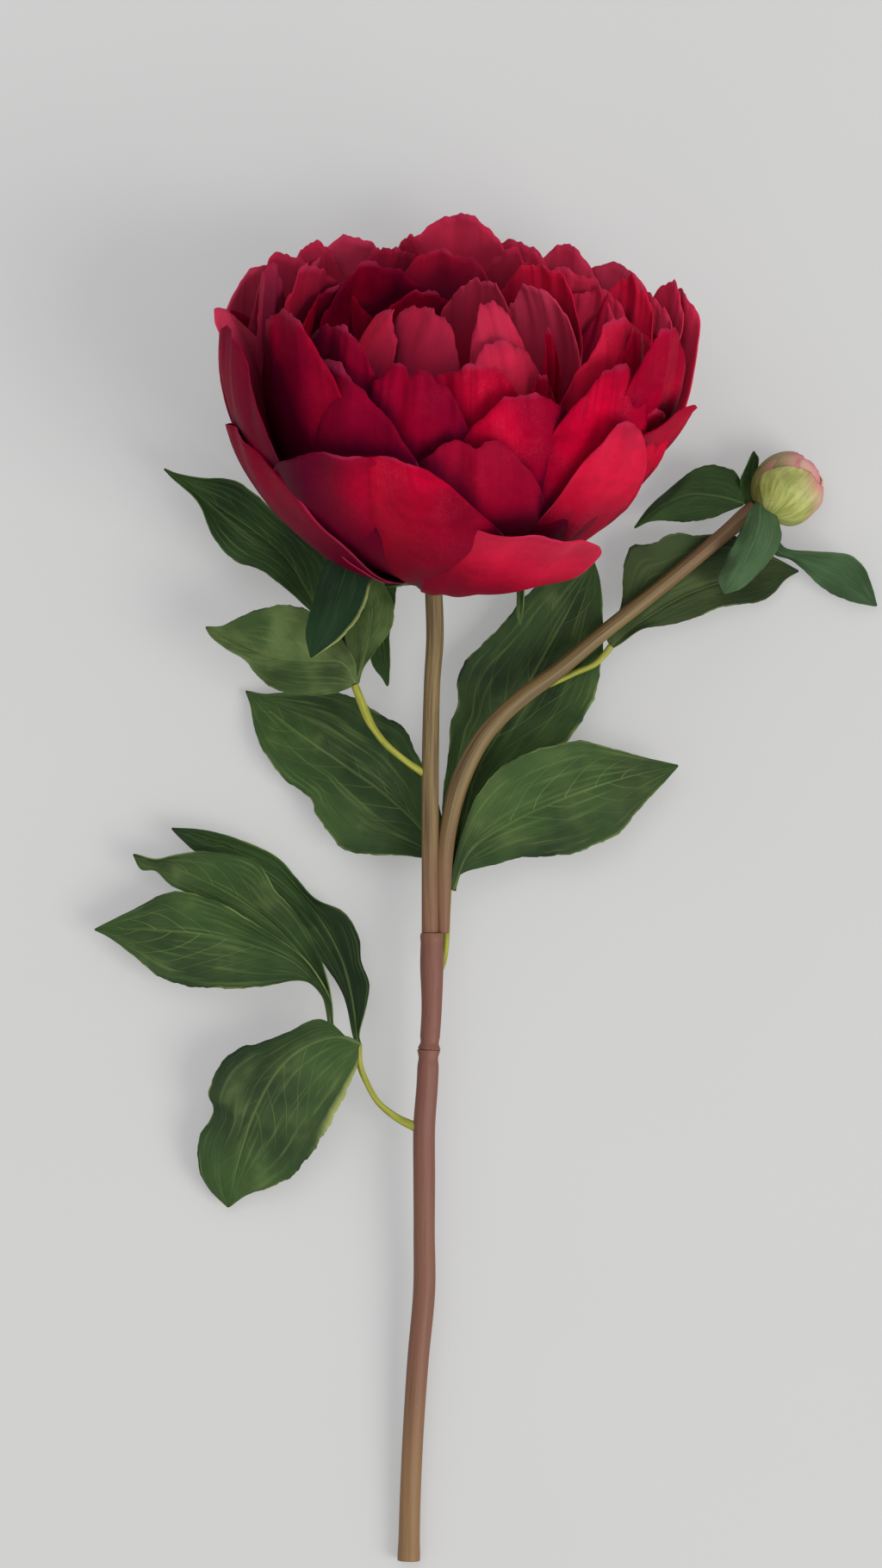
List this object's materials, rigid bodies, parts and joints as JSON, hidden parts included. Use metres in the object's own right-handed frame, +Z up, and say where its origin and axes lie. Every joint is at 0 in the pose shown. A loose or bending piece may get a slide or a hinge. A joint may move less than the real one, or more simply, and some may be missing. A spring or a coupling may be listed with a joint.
{
  "type": "cut peony stem",
  "caption": "Cut peony stem with a large many-petalled bloom, a side bud and lobed leaves, lying on its back.",
  "frame": {"origin": "middle of the bounding box in X and Y, on the surface that the flower lies on", "axes": "+Y runs along the stem from the cut end to the bloom, +X to the side of the bud, +Z up off the surface"},
  "size_m": [0.2564, 0.4366, 0.1314],
  "materials": {
    "petal": "soft crimson cloth with a faint weave and a dusty sheen at the tips",
    "sepal": "matt mid green",
    "stem": "tan to olive, lightly ridged",
    "sleeve": "mauve brown, smooth",
    "lower_stem": "pinkish brown, lightly grooved",
    "petiole": "yellow green, smooth",
    "leaf": "dark green with paler veins and a soft sheen",
    "bract": "grey green, smooth",
    "bud": "yellow green flushed pink at the edges"
  },
  "bodies": {
    "root": {"bloom_petals": "petal", "bloom_sepals": "sepal", "stem_upper": "stem", "stem_sleeve": "sleeve", "stem_lower": "lower_stem", "bud_branch": "stem", "bud_petals": "bud", "petiole_lower": "petiole", "petiole_upper": "petiole", "petiole_middle": "petiole", "petiole_branch": "petiole", "leaf_lower_lobed": "leaf", "leaf_lower_back": "leaf", "leaf_lower_hanging": "leaf", "leaf_upper_far": "leaf", "leaf_upper_lobed": "leaf", "leaf_under_bloom": "leaf", "leaf_behind_stem": "leaf", "leaf_middle_left": "leaf", "leaf_middle_up": "leaf", "leaf_middle_right": "leaf", "leaf_branch": "leaf", "bract_left": "bract", "bract_top": "bract", "bract_front": "bract", "bract_right": "bract"}
  },
  "joints": []
}
